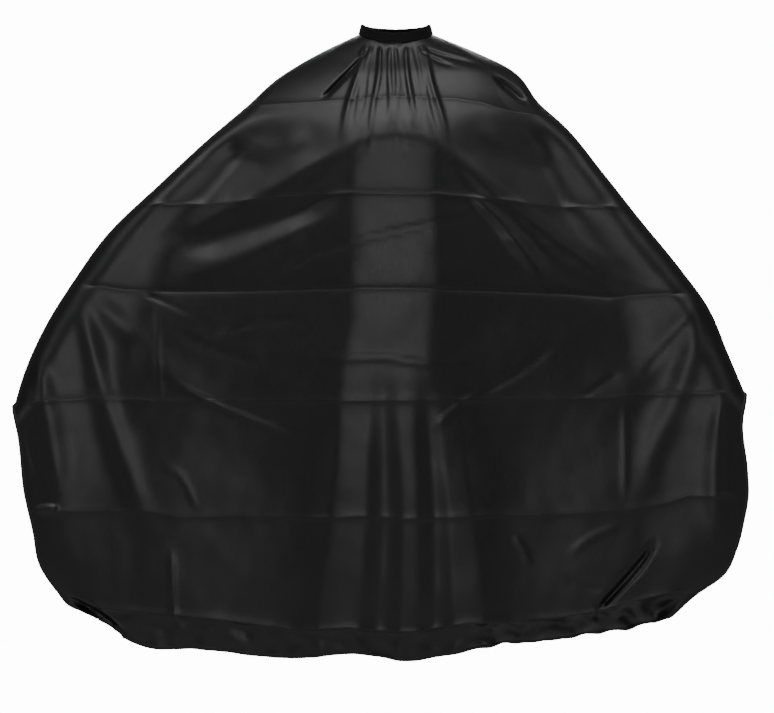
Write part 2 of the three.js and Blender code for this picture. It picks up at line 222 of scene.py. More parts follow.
def alongLine(x, z, points):
    # signed distance to a drawn line, positive above it, and the share of its length at the nearest place
    p = softCurve(points)
    lengths = np.hypot(*(p[1:] - p[:-1]).T)
    starts = np.concatenate([[0], np.cumsum(lengths)])
    best = np.full(x.shape, 9.)
    signed = np.zeros(x.shape)
    share = np.zeros(x.shape)
    for k, length in enumerate(lengths):
        dx, dz = (p[k + 1] - p[k]) / length
        t = np.clip((x - p[k, 0]) * dx + (z - p[k, 1]) * dz, 0, length)
        offX, offZ = x - p[k, 0] - t * dx, z - p[k, 1] - t * dz
        far = np.hypot(offX, offZ)
        nearer = far < best
        best = np.where(nearer, far, best)
        side = np.sign(dx * offZ - dz * offX) * (1 if dx >= 0 else -1)
        signed = np.where(nearer, far * side, signed)
        share = np.where(nearer, (starts[k] + t) / starts[-1], share)
    return signed, share


# soft folds: points (x, z) along the crown or the hollow, height forwards, reach above and below
softFolds = [
    dict(line=[(-.085, -.215), (-.165, -.265), (-.245, -.300), (-.330, -.335), (-.430, -.370)],
         height=.008, above=.045, below=.024, ends=(.3, .35)),
    dict(line=[(-.095, -.300), (-.190, -.345), (-.290, -.375), (-.400, -.400)],
         height=-.010, above=.022, below=.030, ends=(.2, .3)),
    dict(line=[(-.110, -.345), (-.210, -.385), (-.310, -.425), (-.420, -.440)],
         height=.008, above=.030, below=.022, ends=(.3, .3)),
    dict(line=[(.080, -.215), (.150, -.285), (.225, -.340), (.300, -.395), (.375, -.440), (.470, -.460)],
         height=.010, above=.045, below=.020, ends=(.3, .25)),
    dict(line=[(.120, -.300), (.180, -.350), (.225, -.405), (.270, -.455)],
         height=.008, above=.018, below=.014, ends=(.25, .3)),
    dict(line=[(-.300, -.200), (-.215, -.225), (-.140, -.195)],
         height=.007, above=.022, below=.020, ends=(.3, .3)),
    dict(line=[(.290, -.240), (.200, -.215), (.130, -.190)],
         height=.006, above=.022, below=.020, ends=(.3, .3)),
    dict(line=[(-.560, -.480), (-.535, -.570), (-.510, -.670), (-.470, -.790), (-.430, -.900)],
         height=.007, above=.020, below=.022, ends=(.2, .3)),
    dict(line=[(-.545, -.475), (-.470, -.545), (-.400, -.610), (-.300, -.660)],
         height=.005, above=.022, below=.026, ends=(.2, .4)),
    dict(line=[(-.640, -.560), (-.610, -.700), (-.585, -.880)],
         height=.006, above=.020, below=.020, ends=(.2, .3)),
    dict(line=[(.560, -.480), (.490, -.545), (.430, -.620), (.380, -.700)],
         height=.004, above=.026, below=.026, ends=(.2, .4)),
    dict(line=[(.545, -.500), (.500, -.640), (.450, -.760), (.420, -.870)],
         height=.005, above=.022, below=.022, ends=(.2, .3)),
    dict(line=[(.575, -.640), (.560, -.780), (.565, -.920)],
         height=.006, above=.018, below=.018, ends=(.25, .3)),
]
# sharp pleats and dark slashes: the cloth dives in along the line
pleats = [
    dict(line=[(-.048, -.040), (-.085, -.085), (-.132, -.136)],
         height=-.010, above=.0032, below=.0055, ends=(.1, .15)),
    dict(line=[(.050, -.040), (.090, -.055), (.165, -.072)],
         height=-.009, above=.006, below=.004, ends=(.1, .5)),
    dict(line=[(.046, -.048), (.078, -.066), (.110, -.076)],
         height=-.006, above=.004, below=.004, ends=(.1, .5)),
    dict(line=[(.170, -.088), (.202, -.112), (.236, -.140)],
         height=-.012, above=.007, below=.0045, ends=(.3, .3)),
    dict(line=[(.462, -.905), (.430, -.950), (.390, -.995), (.352, -1.035)],
         height=-.014, above=.007, below=.006,
         ends=(.3, .15)),
    dict(line=[(-.602, -1.002), (-.535, -1.032), (-.472, -1.078)],
         height=-.017, above=.005, below=.014, ends=(.3, .2)),
    dict(line=[(-.640, -.858), (-.615, -.853), (-.590, -.852)],
         height=.008, above=.004, below=.010, ends=(.2, .3)),
    dict(line=[(-.650, -.700), (-.645, -.750), (-.632, -.790)],
         height=-.006, above=.005, below=.004, ends=(.3, .2)),
    dict(line=[(-.622, -.785), (-.640, -.800), (-.652, -.812)],
         height=-.004, above=.006, below=.006, ends=(.3, .3)),
]
# fine wrinkles pressed into the cloth
wrinkleWidth, wrinkleReach = .0048, .03
wrinkles = [
    dict(line=[(-.225, -.465), (-.155, -.415), (-.075, -.390), (.020, -.368), (.155, -.340)], height=-.0026),
    dict(line=[(.155, -.383), (.250, -.388), (.310, -.402)], height=.0018),
    dict(line=[(-.325, -.555), (-.250, -.530), (-.160, -.520)], height=-.0028),
    dict(line=[(-.460, -.475), (-.410, -.490), (-.345, -.520)], height=-.0026),
    dict(line=[(-.400, -.535), (-.335, -.570), (-.225, -.605)], height=-.0024),
    dict(line=[(-.420, -.610), (-.330, -.665), (-.150, -.740)], height=.0026),
    dict(line=[(.135, -.660), (.215, -.615), (.285, -.560)], height=-.0028),
    dict(line=[(.325, -.660), (.400, -.615)], height=-.0024),
    dict(line=[(.060, -.720), (.100, -.680), (.160, -.640)], height=.0022),
    dict(line=[(.430, -.625), (.480, -.570), (.535, -.510)], height=-.0026),
    dict(line=[(-.165, -.585), (-.090, -.592), (-.020, -.590), (.050, -.600), (.135, -.597)], height=.0030),
    dict(line=[(-.420, -.480), (-.418, -.600), (-.410, -.680)], height=.0020),
    dict(line=[(-.393, -.920), (-.390, -1.000), (-.385, -1.075)], height=.0026),
    dict(line=[(-.420, -.770), (-.375, -.800), (-.345, -.862)], height=.0014),
    dict(line=[(.402, -.660), (.402, -.760), (.400, -.850)], height=.0020),
    dict(line=[(.205, -.900), (.225, -.930), (.232, -.955)], height=.0026),
    dict(line=[(.300, -.935), (.350, -.900), (.400, -.885)], height=.0022),
    dict(line=[(.290, -.975), (.330, -.990), (.370, -1.000)], height=-.0022),
]
# three flat bands run from the lap to the hem with hollows between: x of both edges at three heights
bands = dict(
    top=-.56,
    heights=[-.56, -.86, -1.07],
    edges=[
        [(-.085, -.040), (-.115, -.050), (-.140, -.062)],
        [(-.005, .026), (.012, .040), (.006, .038)],
        [(.060, .092), (.092, .135), (.100, .160)],
    ],
    depth=.017,
    reach=.036,
    soft=.006,
    fullFrom=.24,                # below their top
    fadesOut=(.2, .5),
)
# the strip below the last pressed line, crumpled all along and turned under on the right
hemStrip = dict(
    turnedFrom=(.10, .20),
    turnedTo=(.53, .60),
    tilt=.6,
    roll=.0045,
    rollReach=.004,
    wrinkle=.0068,
    wrinkleReach=.010,
    size=.046,
)
# slack in the whole cloth: height and size of its broad and its small hills
slack = dict(broad=(.0009, .13), small=(.0002, .045), below=(.18, .30))


def bumpNoise(x, z, size, seed):
    # smooth random hills of about the given size
    pick = np.random.default_rng(seed)
    total = np.zeros(x.shape)
    for k in range(10):
        turn = pick.uniform(0, 2 * math.pi)
        wave = size * pick.uniform(.7, 1.9)
        shift = pick.uniform(0, 2 * math.pi)
        bend = .35 * np.sin(2 * math.pi * (x * math.sin(turn) - z * math.cos(turn)) / (wave * 2.3) + shift)
        total += np.sin(2 * math.pi * (x * math.cos(turn) + z * math.sin(turn)) / wave + shift + 3 * bend)
    return total / 4


def bandHeight(x, z):
    # flat bands facing forwards, with the cloth sloping back between and beside them
    fade = smooth(-z, -bands["top"], bands["fullFrom"] - bands["top"])
    near = np.zeros(x.shape)
    for edges in bands["edges"]:
        low = np.interp(-z, [-h for h in bands["heights"]], [e[0] for e in edges])
        high = np.interp(-z, [-h for h in bands["heights"]], [e[1] for e in edges])
        out = softened(np.maximum(low - x, x - high), bands["soft"])
        near += (out + 1e-5) ** -4
    back = bands["depth"] * (1 - np.exp(-near ** -.25 / bands["reach"]))
    return -back * fade * (1 - smooth(np.abs(x), *bands["fadesOut"]))


def hemStripHeight(x, z):
    creaseX, creaseZ = np.array(foldLines[-1]["line"]).T
    below = np.maximum(0, np.interp(x, creaseX, creaseZ) - z)
    turned = smooth(x, *hemStrip["turnedFrom"]) * (1 - smooth(x, *hemStrip["turnedTo"]))
    crumple = bumpNoise(x, z, hemStrip["size"], 3)
    rough = hemStrip["wrinkle"] * (.35 + 1.1 * turned) * smooth(below, 0, hemStrip["wrinkleReach"])
    roll = hemStrip["roll"] * smooth(below, 0, hemStrip["rollReach"])
    return rough * crumple - roll - below * hemStrip["tilt"] * turned


def foldHeight(x, z):
    # everything that stands out from or dives into the hanging front, in metres forwards
    rise = np.zeros(x.shape)
    for fold in foldLines:
        xs, zs = np.array(fold["line"]).T
        away = z - np.interp(x, xs, zs)
        rise += fold["height"] * np.exp(-np.abs(away) / fold["reach"])
    for fold in softFolds + pleats:
        p = np.array(fold["line"])
        reach = 3 * max(fold["above"], fold["below"])
        near = ((x > p[:, 0].min() - reach) & (x < p[:, 0].max() + reach)
                & (z > p[:, 1].min() - reach) & (z < p[:, 1].max() + reach))
        away, share = alongLine(x[near], z[near], fold["line"])
        ends = smooth(share, 0, fold["ends"][0]) * (1 - smooth(share, 1 - fold["ends"][1], 1))
        width = np.where(away > 0, fold["above"], fold["below"]) * (.6 + .4 * smooth(share, 0, .5))
        rise[near] += fold["height"] * ends * np.exp(-(away / width) ** 2)
    for line in wrinkles:
        p = np.array(line["line"])
        near = ((x > p[:, 0].min() - wrinkleReach) & (x < p[:, 0].max() + wrinkleReach)
                & (z > p[:, 1].min() - wrinkleReach) & (z < p[:, 1].max() + wrinkleReach))
        away, share = alongLine(x[near], z[near], line["line"])
        ends = smooth(share, 0, .25) * (1 - smooth(share, .7, 1))
        rise[near] += line["height"] * ends * np.exp(-(away / wrinkleWidth) ** 2)
    broad, small = slack["broad"], slack["small"]
    hills = broad[0] * bumpNoise(x, z, broad[1], 5) + small[0] * bumpNoise(x, z, small[1], 8)
    return rise + bandHeight(x, z) + hemStripHeight(x, z) + hills * smooth(-z, *slack["below"])


gathers = dict(
    crowns=[-1.06, -.86, -.68, -.47, -.30, -.12, .06, .22, .40, .60, .82, 1.03],
    height=.0085,
    width=.085,                  # of one gather, as a share of the gathered half width
    middle=-.003,
    top=.031,
    halfWidth=.050,              # of the gathered stretch at the band
    spread=.20,                  # by which it widens on the way down
    rise=(.001, .020),
    fadeFrom=.1155,
    fadeTo=.250,
    uneven=.045,
)


def gatherHeight(x, z):
    # gathers fan out from the neckband, each with its own strength, sway and length
    drop = np.clip(-gathers["top"] - z, 0, 1)
    g = (x - gathers["middle"]) / (gathers["halfWidth"] + drop * gathers["spread"])
    total = np.zeros(x.shape)
    for k, crown in enumerate(gathers["crowns"]):
        strength = .62 + .38 * math.sin(k * 2.4 + 1)
        sway = .03 * np.sin(drop * 40 + k * 1.9)
        length = gathers["fadeTo"] - gathers["uneven"] * (1 + math.sin(k * 1.7)) / 2
        fade = smooth(drop, *gathers["rise"]) * (1 - smooth(-z, gathers["fadeFrom"], length))
        total += strength * fade * np.exp(-((g - crown - sway) / gathers["width"]) ** 2)
    return gathers["height"] * total


def frontRows():
    # rows of (x, z) points from the neckband down, with a row along every pressed fold line
    u = np.linspace(0, 1, grid["columns"] + 1)
    angle = (u - .5) * math.pi
    neck = bandPoint(angle, band["thickness"] / 2, band["tuck"])
    hemPairs = [(share * cape["leftSpan" if share < 0 else "rightSpan"], lift - cape["frontLength"])
                for share, lift in hemLine]
    guides = [neck[:, [0, 2]]]
    for fold in foldLines:
        xs, zs = np.array(fold["line"]).T
        x = np.linspace(rimLeft(zs[0]), rimRight(zs[-1]), len(u))
        guides.append(np.stack([x, np.interp(x, xs, zs)], axis=-1))
    x = np.linspace(hemPairs[0][0], hemPairs[-1][0], len(u))
    guides.append(np.stack([x, through(hemPairs, x)], axis=-1))
    rows = []
    for k, count in enumerate(grid["rowsBetween"]):
        top, bottom = guides[k], guides[k + 1]
        last = k == len(grid["rowsBetween"]) - 1
        for j in range(count + (1 if last else 0)):
            w = j / count
            w -= grid["gatherToFold"] * math.sin(2 * math.pi * w) / (2 * math.pi)
            zl = top[0, 1] * (1 - w) + bottom[0, 1] * w
            zr = top[-1, 1] * (1 - w) + bottom[-1, 1] * w
            row = top * (1 - w) + bottom * w
            left = np.array([rimLeft(zl), zl])
            right = np.array([rimRight(zr), zr])
            if last and j == count:
                left, right = bottom[0], bottom[-1]
            row = row + np.outer(1 - u, left - row[0]) + np.outer(u, right - row[-1])
            rows.append(row)
    return np.array(rows), u


def frontPanelPoints(rows, u):
    x, z = rows[..., 0], rows[..., 1]
    s = np.abs(2 * u - 1)[None, :] * np.ones(x.shape)
    leftHalf = (u < .5)[None, :]
    edgeX = np.where(leftHalf, x[:, :1], x[:, -1:])
    edgeZ = np.where(leftHalf, z[:, :1], z[:, -1:])
    drop = np.where(leftHalf, cape["leftDrop"], cape["rightDrop"])
    neckY = bandPoint((u - .5) * math.pi, band["thickness"] / 2, band["tuck"])[:, 1]
    down = np.arange(len(rows))[:, None] / len(rows) * np.ones(x.shape)
    depth = frontDepth(x, z, s, edgeX, edgeZ, drop)
    flat = 1 - smooth(s, .93, 1)
    depth += foldHeight(x, z) * flat
    settle = smooth(down, 0, .10 * (1 - s ** 4) + 1e-6)
    depth = -neckY[None, :] * (1 - settle) + depth * settle + gatherHeight(x, z) * flat
    return np.stack([x, -depth, z], axis=-1)


# the back halves, which hang from the neckband and from the ridges over the arms
backHalf = dict(
    neckColumns=36,
    rows=60,
    endAngle=math.pi - .049,
    hemLine=[(0, .66), (.22, 1.0), (.6, 1.09), (1, 1.03)],
    profile=[(0, .055), (.060, .084), (.160, .112), (.320, .118), (.900, .112)],
    foldDepth=.011,
    foldWave=.125,
    secondDepth=.45,             # a second, shorter wave, as shares of the first
    secondWave=.61,
    fanAtNape=.14,               # the folds' spread at the nape, as a share of their spread lower down
    fanLength=.7,
    straightFrom=(.08, .34),
    lapZone=(.05, .19),
    lapOpens=.01,
)


def backWave(x, fallen):
    # folds fan out from the nape and hang straight further out
    nape = backHalf["fanAtNape"]
    spread = nape + (1 - nape) * np.clip(fallen / backHalf["fanLength"], 0, 1)
    out = smooth(np.abs(x), *backHalf["straightFrom"])
    q = x / (spread * (1 - out) + out)
    wave = np.sin(2 * math.pi * q / backHalf["foldWave"] + .8 * np.sin(9 * q) + .6)
    second = np.sin(2 * math.pi * q / (backHalf["foldWave"] * backHalf["secondWave"]) + 2.2)
    return wave + backHalf["secondDepth"] * second


def backHalfPoints(side, ridgePoints):
    sign = -1 if side == "left" else 1
    span = cape[side + "Span"]
    drop = cape[side + "Drop"]
    t = np.arange(backHalf["neckColumns"]) / backHalf["neckColumns"]
    angle = backHalf["endAngle"] * (1 - t) + math.pi / 2 * t
    neckTop = bandPoint(sign * angle, band["thickness"] / 2, band["tuck"])
    top = np.concatenate([neckTop, ridgePoints])
    neckDrop = cape["neckDrop"]
    share = np.concatenate([0 * t, (-ridgePoints[:, 2] - neckDrop) / (drop - neckDrop)])
    onNeck = np.concatenate([t < 2, np.zeros(len(ridgePoints), bool)])
    t = np.concatenate([t, np.ones(len(ridgePoints))])
    bottomX = np.where(onNeck, sign * (-cape["lap"] * (1 - t) + cape["neckSide"] * t), top[:, 0])
    outer = smooth(share, .5, 1)
    hemLevel = cape["backLength"] * (1 - outer) + (drop + cape["armRadius"]) * outer
    bottomZ = np.where(onNeck, -cape["backLength"] * through(backHalf["hemLine"], t),
                       -hemLevel * (1.03 - .03 * smooth(share, 0, .3)))
    b = (np.linspace(0, 1, backHalf["rows"] + 1) ** 1.25)[:, None]
    x = top[:, 0] * (1 - b) + bottomX * b
    z = top[:, 2] * (1 - b) + bottomZ * b
    fallen = top[:, 2] - z
    s = np.clip(np.abs(x) / span, 0, 1)
    radius = cape["armRadius"] * smooth(share, 0, .4) + .001
    edge = radius - cape["ridgeForward"] * s
    hang = edge + (through(backHalf["profile"], -z) - edge) * (1 - s ** 2)
    rolled = np.sqrt(1 - (1 - np.clip(.7 * fallen / (radius + .03 * (1 - share)), 0, 1)) ** 2)
    mixed = smooth(share, 0, .12)
    settle = smooth(fallen, 0, .09) * (1 - mixed) + rolled * mixed
    lap = (.5 if side == "left" else -.5) * cape["lapGap"] * (1 - smooth(sign * x, *backHalf["lapZone"]))
    lap = lap * np.clip(fallen / backHalf["lapOpens"], 0, 1)
    folds = backHalf["foldDepth"] * backWave(x, fallen) * smooth(fallen, .02, .32) * (1 - smooth(s, .7, 1))
    y = top[:, 1] * (1 - settle) + hang * settle + lap + folds
    return np.stack([x, y, z], axis=-1)


def gridFaces(rows, columns, first, flip=False):
    quads = []
    for j in range(rows - 1):
        for i in range(columns - 1):
            a = first + j * columns + i
            quad = (a, a + columns, a + columns + 1, a + 1)
            quads.append(quad[::-1] if flip else quad)
    return quads


def clothLengths(half):
    # distance across from the first column's side and down from the top, in metres, for the weave to follow
    acrossStep = np.linalg.norm(np.diff(half, axis=1), axis=2)
    downStep = np.linalg.norm(np.diff(half, axis=0), axis=2)
    u = np.concatenate([np.zeros((len(half), 1)), np.cumsum(acrossStep, axis=1)], axis=1)
    v = np.concatenate([np.zeros((1, half.shape[1])), np.cumsum(downStep, axis=0)], axis=0)
    u -= u[:, u.shape[1] // 2][:, None]
    return np.stack([u, v.mean(axis=1)[:, None] + 0 * u], axis=-1).reshape(-1, 2)


def addUV(obj, places):
    layer = obj.data.uv_layers.new(name="cut")
    index = np.zeros(len(obj.data.loops), dtype=np.int32)
    obj.data.loops.foreach_get("vertex_index", index)
    layer.data.foreach_set("uv", places[index].astype(np.float32).ravel())


rows, across = frontRows()
front = frontPanelPoints(rows, across)
cornerRow = {
    "left": int(np.sum(rows[:, 0, 1] > -cape["leftDrop"])),
    "right": int(np.sum(rows[:, -1, 1] > -cape["rightDrop"])),
}
backs = {
    "left": backHalfPoints("left", front[:cornerRow["left"], 0]),
    "right": backHalfPoints("right", front[:cornerRow["right"], -1]),
}
verts = front.reshape(-1, 3)
faces = gridFaces(front.shape[0], front.shape[1], 0)
for side, half in backs.items():
    faces += gridFaces(half.shape[0], half.shape[1], len(verts), flip=side == "left")
    verts = np.concatenate([verts, half.reshape(-1, 3)])
cloth = meshObject("cape_cloth", verts, faces)
addUV(cloth, np.concatenate([clothLengths(front), clothLengths(backs["left"]), clothLengths(backs["right"])]))
shape = bmesh.new()
shape.from_mesh(cloth.data)
bmesh.ops.remove_doubles(shape, verts=shape.verts, dist=.0001)
shape.to_mesh(cloth.data)
area = sum(f.calc_area() for f in shape.faces)
print("cloth:", len(shape.verts), "points,", round(area, 3), "square metres")
shape.free()


def loftObject(name, rings):
    # a closed bar through rings of points, with its ends capped and its faces outwards
    count, size = rings.shape[:2]
    quads = []
    for k in range(count - 1):
        for c in range(size):
            a, b = k * size + c, k * size + (c + 1) % size
            quads.append((a, b, b + size, a + size))
    quads.append(tuple(range(size))[::-1])
    quads.append(tuple((count - 1) * size + c for c in range(size)))
    obj = meshObject(name, rings.reshape(-1, 3), quads)
    shape = bmesh.new()
    shape.from_mesh(obj.data)
    bmesh.ops.recalc_face_normals(shape, faces=shape.faces)
    if shape.calc_volume(signed=True) < 0:
        bmesh.ops.reverse_faces(shape, faces=shape.faces)
    shape.to_mesh(obj.data)
    shape.free()
    return obj


def unit(vectors):
    return vectors / np.maximum(np.linalg.norm(vectors, axis=-1, keepdims=True), 1e-9)


# the binding folded over every free edge
hem = dict(
    inside=.0026,            # how far it reaches in over the cloth
    outside=.0042,
    thickness=.0022,
    ring=12,
    pucker=.22,              # share of the thickness by which the sewing puckers it
    stitchLine=-.0012,       # from the cloth's edge
)
stitchLines = {"root": [], "closure_tab": []}


def hemObject(name, points, inner):
    along = unit(np.gradient(points, axis=0))
    outward = points - inner
    outward = unit(outward - along * np.sum(outward * along, axis=1, keepdims=True))
    normal = np.cross(along, outward)
    run = np.concatenate([[0], np.cumsum(np.linalg.norm(np.diff(points, axis=0), axis=1))])
    pucker = 1 + hem["pucker"] * (np.sin(run * 900) * .5 + np.sin(run * 370 + 1) * .5)
    turn = np.arange(hem["ring"]) / hem["ring"] * 2 * math.pi
    flat = np.sign(np.cos(turn)) * np.abs(np.cos(turn)) ** .8
    middle = (hem["outside"] - hem["inside"]) / 2
    half = (hem["outside"] + hem["inside"]) / 2
    thick = hem["thickness"] / 2 * pucker[:, None]
    rings = (points[:, None] + outward[:, None] * (middle + half * flat)[None, :, None]
             + normal[:, None] * (thick * np.sin(turn))[..., None])
    for face in (-1, 1):
        lift = hem["thickness"] * .5 * .88
        line = points + outward * hem["stitchLine"] + normal * face * (lift * pucker[:, None])
        stitchLines["root"].append((line, normal * face))
    obj = loftObject(name, rings)
    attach(obj, "root")
    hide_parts(name.replace("_binding", ""))
    return obj


def frontEdge():
    left, right = cornerRow["left"], cornerRow["right"]
    outer = [front[left:-1, 0], front[-1], front[right:-1, -1][::-1]]
    inner = [front[left:-1, 1], front[-2], front[right:-1, -2][::-1]]
    return np.concatenate(outer), np.concatenate(inner)


hems = [hemObject("hem_front_binding", *frontEdge())]
for side, half in backs.items():
    hems.append(hemObject("hem_back_" + side + "_binding", half[-1, ::-1], half[-2, ::-1]))
    hems.append(hemObject("hem_slit_" + side + "_binding", half[4:, 0], half[4:, 1]))
print("bindings:", len(hems))

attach(cloth, "root")
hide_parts("cloth_front", "cloth_back_left", "cloth_back_right")


# neckband and closure: tapes bent round the neck
tape = dict(
    fabric=.001,
    elastic=.0015,
    elasticInset=.0015,
    seatGap=.0003,
    endGap=.006,
    rib=.00013,
    fineRib=.00005,
    ribCount=8,
    faceSteps=33,
    backSteps=17,
    edgeShare=.05,
    stitchMargin=.0014,
    stitchLift=.0001,
)
closure = dict(
    tabLength=.058,
    tabFabric=.0008,
    hook=.001,
    hookInset=.003,
    loopLength=.084,
    loopInset=.001,
    anchorLength=.014,
    rootOverlap=.002,
    tipRadius=.0045,
    stitchMargin=.0022,
    crossMargin=.0034,
    anchorMargin=.002,
)
elasticOut = tape["fabric"] + tape["seatGap"]
outerOut = elasticOut + tape["elastic"] + tape["seatGap"]
loopOut = outerOut + tape["fabric"] + tape["seatGap"]
hookOut = loopOut + closure["hook"] + tape["seatGap"]
tabLiningOut = hookOut + closure["hook"] + tape["seatGap"]
tabOuterOut = tabLiningOut + closure["tabFabric"] + tape["seatGap"]
tabRadius = band["halfWidth"] + tabOuterOut
endAngle = math.pi - tape["endGap"] / 2 / band["halfWidth"]
tabRoot = endAngle + (tape["endGap"] + closure["rootOverlap"]) / tabRadius
tabTip = endAngle - closure["tabLength"] / tabRadius


def tapeObject(name, start, end, out, thickness, bottom, top, body, rib=0., steps=120,
               tipRadius=0.):
    # a tape round part of the neck: ribbed outside, plain inside, with rounded edges
    angles = np.linspace(start, end, steps + 1)
    h = np.concatenate([np.linspace(0, 1, tape["faceSteps"]), np.linspace(1, 0, tape["backSteps"])[1:-1]])
    outerFace = np.arange(len(h)) < tape["faceSteps"]
    edge = 1 - np.clip(np.minimum(h, 1 - h) / tape["edgeShare"], 0, 1)
    rounding = .5 * (1 - np.sqrt(1 - edge**2))
    across = np.where(outerFace, 1 - rounding, rounding)
    ribs = np.where(outerFace, rib * np.cos(h * 2 * math.pi * tape["ribCount"]), 0) * (1 - edge)
    rings = []
    for angle in angles:
        sway = rib * (1.6 * math.sin(angle * 17) + math.sin(angle * 41))
        fromTip = (angle - start) * (band["halfWidth"] + out)
        cut = max(0., tipRadius - fromTip)
        shrink = tipRadius - math.sqrt(max(0., tipRadius**2 - cut**2)) if tipRadius else 0
        up = bottom + shrink + (top - bottom - 2 * shrink) * h + sway
        rings.append(bandPoint(angle + 0 * h, out + thickness * across + ribs, up))
    obj = loftObject(name, np.array(rings))
    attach(obj, body)
    return obj


def tapeStitches(body, start, end, out, up, steps=90):
    angles = np.linspace(start, end, steps)
    line = bandPoint(angles, out, up)
    away = np.stack([np.sin(angles), -np.cos(angles), 0 * angles], axis=-1)
    stitchLines[body].append((line, away))


def crossStitches(body, angle, out, bottom, top, steps=12):
    ups = np.linspace(bottom, top, steps)
    line = bandPoint(angle + 0 * ups, out, ups)
    stitchLines[body].append((line, np.tile([math.sin(angle), -math.cos(angle), 0], (steps, 1))))


height = band["height"]
lining = tapeObject("neckband_lining_tape", -endAngle, endAngle, 0, tape["fabric"], 0, height,
                    "root", rib=tape["fineRib"])
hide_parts("neckband_lining")
outerTape = tapeObject("neckband_outer_tape", -endAngle, endAngle, outerOut, tape["fabric"], 0, height,
                       "root", rib=tape["rib"], steps=260)
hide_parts("neckband_outer")
elastic = tapeObject("neckband_elastic_core", -endAngle, endAngle, elasticOut, tape["elastic"],
                     tape["elasticInset"], height - tape["elasticInset"], "root", rib=.0001)
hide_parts("neckband_elastic")
for up in (tape["stitchMargin"], height - tape["stitchMargin"]):
    tapeStitches("root", -endAngle, endAngle, outerOut + tape["fabric"] + tape["stitchLift"], up, steps=200)

tabOuter = tapeObject("tab_outer_fabric", tabTip, tabRoot, tabOuterOut, closure["tabFabric"], 0, height,
                      "closure_tab", rib=tape["fineRib"], tipRadius=closure["tipRadius"])
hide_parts("tab_outer")
tabLining = tapeObject("tab_lining_fabric", tabTip, tabRoot, tabLiningOut, closure["tabFabric"], 0, height,
                       "closure_tab", rib=tape["fineRib"], tipRadius=closure["tipRadius"])
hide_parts("tab_lining")
anchorFrom = tabRoot + tape["seatGap"] / tabRadius
anchorTo = tabRoot + closure["anchorLength"] / tabRadius
anchorThickness = tabOuterOut + closure["tabFabric"] - loopOut
anchor = tapeObject("tab_anchor_patch", anchorFrom, anchorTo, loopOut, anchorThickness, 0, height, "root",
                    rib=.00006, steps=24)
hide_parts("tab_anchor")
tabFace = tabOuterOut + closure["tabFabric"] + tape["stitchLift"]
for up in (closure["stitchMargin"], height - closure["stitchMargin"]):
    tapeStitches("closure_tab", tabTip + .05, tabRoot - .01, tabFace, up, steps=40)
crossStitches("closure_tab", tabTip + .036, tabFace, closure["crossMargin"], height - closure["crossMargin"])
for angle in (anchorFrom + .03, anchorTo - .03):
    crossStitches("root", angle, tabFace, closure["anchorMargin"], height - closure["anchorMargin"])


def nodeTree(name, sockets):
    tree = bpy.data.node_groups.new(name, "GeometryNodeTree")
    tree.interface.new_socket("Geometry", in_out="INPUT", socket_type="NodeSocketGeometry")
    for label, kind in sockets:
        tree.interface.new_socket(label, in_out="INPUT", socket_type="NodeSocket" + kind)
    tree.interface.new_socket("Geometry", in_out="OUTPUT", socket_type="NodeSocketGeometry")
    return tree, tree.nodes.new("NodeGroupInput"), tree.nodes.new("NodeGroupOutput")


def finishTree(tree, source, result, geometry):
    realize = tree.nodes.new("GeometryNodeRealizeInstances")
    paint = tree.nodes.new("GeometryNodeSetMaterial")
    tree.links.new(geometry, realize.inputs[0])
    tree.links.new(realize.outputs[0], paint.inputs["Geometry"])
    tree.links.new(source.outputs["Material"], paint.inputs["Material"])
    tree.links.new(paint.outputs[0], result.inputs[0])


def upAttribute(tree):
    up = tree.nodes.new("GeometryNodeInputNamedAttribute")
    up.data_type = "FLOAT_VECTOR"
    up.inputs["Name"].default_value = "up"
    return up.outputs["Attribute"]


def stitchTree():
    # stitches lie along each edge of the given line, flat on the face below them
    tree, source, result = nodeTree("stitches along a seam", [
        ("Spacing", "Float"), ("Stitch length", "Float"), ("Thread width", "Float"),
        ("Material", "Material")])
    new, link = tree.nodes.new, tree.links.new
    curve = new("GeometryNodeMeshToCurve")
    evenly = new("GeometryNodeResampleCurve")
    evenly.mode = "LENGTH"
    stitch = new("GeometryNodeMeshUVSphere")
    stitch.inputs["Segments"].default_value = 6
    stitch.inputs["Rings"].default_value = 5
    stitch.inputs["Radius"].default_value = .5
    size = new("ShaderNodeCombineXYZ")
    stretch = new("GeometryNodeTransform")
    tangent = new("GeometryNodeInputTangent")
    lie = new("FunctionNodeAlignRotationToVector")
    lie.axis = "X"
    face = new("FunctionNodeAlignRotationToVector")
    face.axis = "Z"
    face.pivot_axis = "X"
    place = new("GeometryNodeInstanceOnPoints")
    link(source.outputs["Geometry"], curve.inputs[0])
    link(curve.outputs[0], evenly.inputs["Curve"])
    link(source.outputs["Spacing"], evenly.inputs["Length"])
    link(source.outputs["Stitch length"], size.inputs["X"])
    link(source.outputs["Thread width"], size.inputs["Y"])
    link(source.outputs["Thread width"], size.inputs["Z"])
    link(stitch.outputs["Mesh"], stretch.inputs["Geometry"])
    link(size.outputs[0], stretch.inputs["Scale"])
    link(tangent.outputs[0], lie.inputs["Vector"])
    link(lie.outputs[0], face.inputs["Rotation"])
    link(upAttribute(tree), face.inputs["Vector"])
    link(evenly.outputs[0], place.inputs["Points"])
    link(stretch.outputs[0], place.inputs["Instance"])
    link(face.outputs[0], place.inputs["Rotation"])
    finishTree(tree, source, result, place.outputs[0])
    return tree


